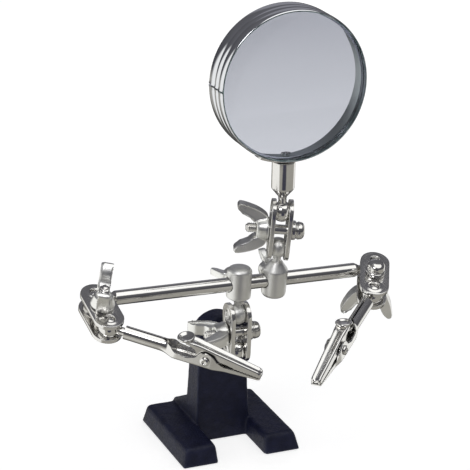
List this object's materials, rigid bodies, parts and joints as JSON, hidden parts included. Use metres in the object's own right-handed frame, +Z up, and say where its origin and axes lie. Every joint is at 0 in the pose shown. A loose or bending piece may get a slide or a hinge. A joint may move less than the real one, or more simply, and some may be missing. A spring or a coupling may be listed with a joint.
{
  "type": "helping hands clamp",
  "caption": "Bench stand with a cast base, ball-jointed arm, cross bar, round magnifier and crocodile clips on wing-nut ball joints.",
  "frame": {"origin": "on the underside of the base, under the middle of its width and length", "axes": "+Z up; +X along the cross bar, towards the side the magnifier stands on; the open front of the base, the arm and the clips face -Y"},
  "size_m": [0.128, 0.0996, 0.181],
  "materials": {
    "enamelled_cast_iron": "blue-black enamel over rough cast iron",
    "nickel_plated_steel": "bright nickel plate",
    "nickel_plated_brass": "nickel plate over cast brass",
    "chromed_rim": "polished chrome",
    "lens_glass": "polished, ground edge",
    "spring_steel": "drawn wire"
  },
  "bodies": {
    "base": {"base_casting": "enamelled_cast_iron", "base_ball_stud": "nickel_plated_steel"},
    "lower_joint": {"lower_joint_plate_nut_side": "nickel_plated_steel", "lower_joint_plate_head_side": "nickel_plated_steel", "lower_joint_bolt": "nickel_plated_steel"},
    "lower_wing_nut": {"lower_joint_wing_nut": "nickel_plated_brass"},
    "bar_slider": {"bar_slider_block": "nickel_plated_steel"},
    "bar_thumb_screw": {"bar_slider_thumb_screw": "nickel_plated_brass"},
    "cross_bar": {"cross_bar": "nickel_plated_steel"},
    "lens_slider": {"lens_slider_block": "nickel_plated_steel"},
    "lens_thumb_screw": {"lens_slider_thumb_screw": "nickel_plated_brass"},
    "upper_joint": {"upper_joint_plate_nut_side": "nickel_plated_steel", "upper_joint_plate_head_side": "nickel_plated_steel", "upper_joint_bolt": "nickel_plated_steel"},
    "upper_wing_nut": {"upper_joint_wing_nut": "nickel_plated_brass"},
    "magnifier": {"magnifier_stem": "nickel_plated_steel", "magnifier_saddle": "nickel_plated_steel", "magnifier_saddle_screw": "nickel_plated_steel", "lens_ring": "chromed_rim", "magnifier_lens": "lens_glass"},
    "left_joint": {"left_joint_plate_nut_side": "nickel_plated_steel", "left_joint_plate_head_side": "nickel_plated_steel", "left_joint_bolt": "nickel_plated_steel"},
    "left_wing_nut": {"left_joint_wing_nut": "nickel_plated_brass"},
    "left_clip_stem": {"left_clip_ball_stem": "nickel_plated_steel"},
    "left_clip": {"left_clip_fixed_jaw": "nickel_plated_steel", "left_clip_rivet": "nickel_plated_steel", "left_clip_spring": "spring_steel"},
    "left_jaw": {"left_clip_moving_jaw": "nickel_plated_steel"},
    "right_joint": {"right_joint_plate_nut_side": "nickel_plated_steel", "right_joint_plate_head_side": "nickel_plated_steel", "right_joint_bolt": "nickel_plated_steel"},
    "right_wing_nut": {"right_joint_wing_nut": "nickel_plated_brass"},
    "right_clip_stem": {"right_clip_ball_stem": "nickel_plated_steel"},
    "right_clip": {"right_clip_fixed_jaw": "nickel_plated_steel", "right_clip_rivet": "nickel_plated_steel", "right_clip_spring": "spring_steel"},
    "right_jaw": {"right_clip_moving_jaw": "nickel_plated_steel"}
  },
  "joints": [
    {"name": "lower_ball", "type": "hinge", "parent": "base", "child": "lower_joint", "pos_m": [0, -0.0175, 0.0437], "axis": [-0.9986, 0.0518, 0.0053], "range_deg": [-20, 20]},
    {"name": "lower_nut_turn", "type": "hinge", "parent": "lower_joint", "child": "lower_wing_nut", "pos_m": [0, -0.01829, 0.05146], "axis": [-0.9986, 0.0518, 0.0053], "continuous": true},
    {"name": "arm_swivel", "type": "hinge", "parent": "lower_joint", "child": "bar_slider", "pos_m": [0, -0.01908, 0.05922], "axis": [0.0279, -0.061, 0.9977], "range_deg": [-40, 40]},
    {"name": "bar_screw_turn", "type": "hinge", "parent": "bar_slider", "child": "bar_thumb_screw", "pos_m": [0.00036, -0.01986, 0.07209], "axis": [0.0017, 0.9981, 0.061], "continuous": true},
    {"name": "bar_slide", "type": "slide", "parent": "bar_slider", "child": "cross_bar", "axis": [0.9996, 0, -0.0279], "range_m": [-0.001, 0.018]},
    {"name": "lens_slide", "type": "slide", "parent": "cross_bar", "child": "lens_slider", "axis": [0.9996, 0, -0.0279], "range_m": [0, 0.025]},
    {"name": "lens_screw_turn", "type": "hinge", "parent": "lens_slider", "child": "lens_thumb_screw", "pos_m": [0.01505, -0.01986, 0.07168], "axis": [0.0044, 0.9877, 0.1563], "continuous": true},
    {"name": "upper_ball", "type": "hinge", "parent": "lens_slider", "child": "upper_joint", "pos_m": [0.01544, -0.02205, 0.0855], "axis": [-0.9393, 0.3324, 0.0849], "range_deg": [-25, 25]},
    {"name": "upper_nut_turn", "type": "hinge", "parent": "upper_joint", "child": "upper_wing_nut", "pos_m": [0.01565, -0.02341, 0.09318], "axis": [-0.9393, 0.3324, 0.0849], "continuous": true},
    {"name": "magnifier_tilt", "type": "hinge", "parent": "upper_joint", "child": "magnifier", "pos_m": [0.01587, -0.02476, 0.10086], "axis": [0.9393, -0.3324, -0.0849], "range_deg": [-30, 30]},
    {"name": "left_bar_ball", "type": "hinge", "parent": "cross_bar", "child": "left_joint", "pos_m": [-0.05812, -0.01986, 0.07372], "axis": [0.0207, -0.3381, 0.9409], "range_deg": [-40, 12]},
    {"name": "left_nut_turn", "type": "hinge", "parent": "left_joint", "child": "left_wing_nut", "pos_m": [-0.05767, -0.02719, 0.07108], "axis": [0.0207, -0.3381, 0.9409], "continuous": true},
    {"name": "left_clip_ball", "type": "hinge", "parent": "left_joint", "child": "left_clip_stem", "pos_m": [-0.05722, -0.03451, 0.06844], "axis": [0.0207, -0.3381, 0.9409], "range_deg": [-45, 5]},
    {"name": "left_clip_turn", "type": "hinge", "parent": "left_clip_stem", "child": "left_clip", "pos_m": [-0.05722, -0.03451, 0.06844], "axis": [0.7857, -0.5814, -0.2113], "continuous": true},
    {"name": "left_jaw_pivot", "type": "hinge", "parent": "left_clip", "child": "left_jaw", "pos_m": [-0.02703, -0.05709, 0.06108], "axis": [-0.6183, -0.7496, -0.2365], "range_deg": [0, 18], "stiffness_Nm_per_rad": 0.12, "springref_deg": -20.05},
    {"name": "right_bar_ball", "type": "hinge", "parent": "cross_bar", "child": "right_joint", "pos_m": [0.05704, -0.01986, 0.07051], "axis": [-0.0075, -0.3722, 0.9281], "range_deg": [-5, 40]},
    {"name": "right_nut_turn", "type": "hinge", "parent": "right_joint", "child": "right_wing_nut", "pos_m": [0.05382, -0.02645, 0.06784], "axis": [0.0075, 0.3722, -0.9281], "continuous": true},
    {"name": "right_clip_ball", "type": "hinge", "parent": "right_joint", "child": "right_clip_stem", "pos_m": [0.05061, -0.03304, 0.06517], "axis": [-0.0075, -0.3722, 0.9281], "range_deg": [-10, 60]},
    {"name": "right_clip_turn", "type": "hinge", "parent": "right_clip_stem", "child": "right_clip", "pos_m": [0.05061, -0.03304, 0.06517], "axis": [-0.6989, -0.6749, -0.2368], "continuous": true},
    {"name": "right_jaw_pivot", "type": "hinge", "parent": "right_clip", "child": "right_jaw", "pos_m": [0.02364, -0.05909, 0.05686], "axis": [-0.6947, 0.7193, 0], "range_deg": [0, 18], "stiffness_Nm_per_rad": 0.12, "springref_deg": -20.05}
  ]
}
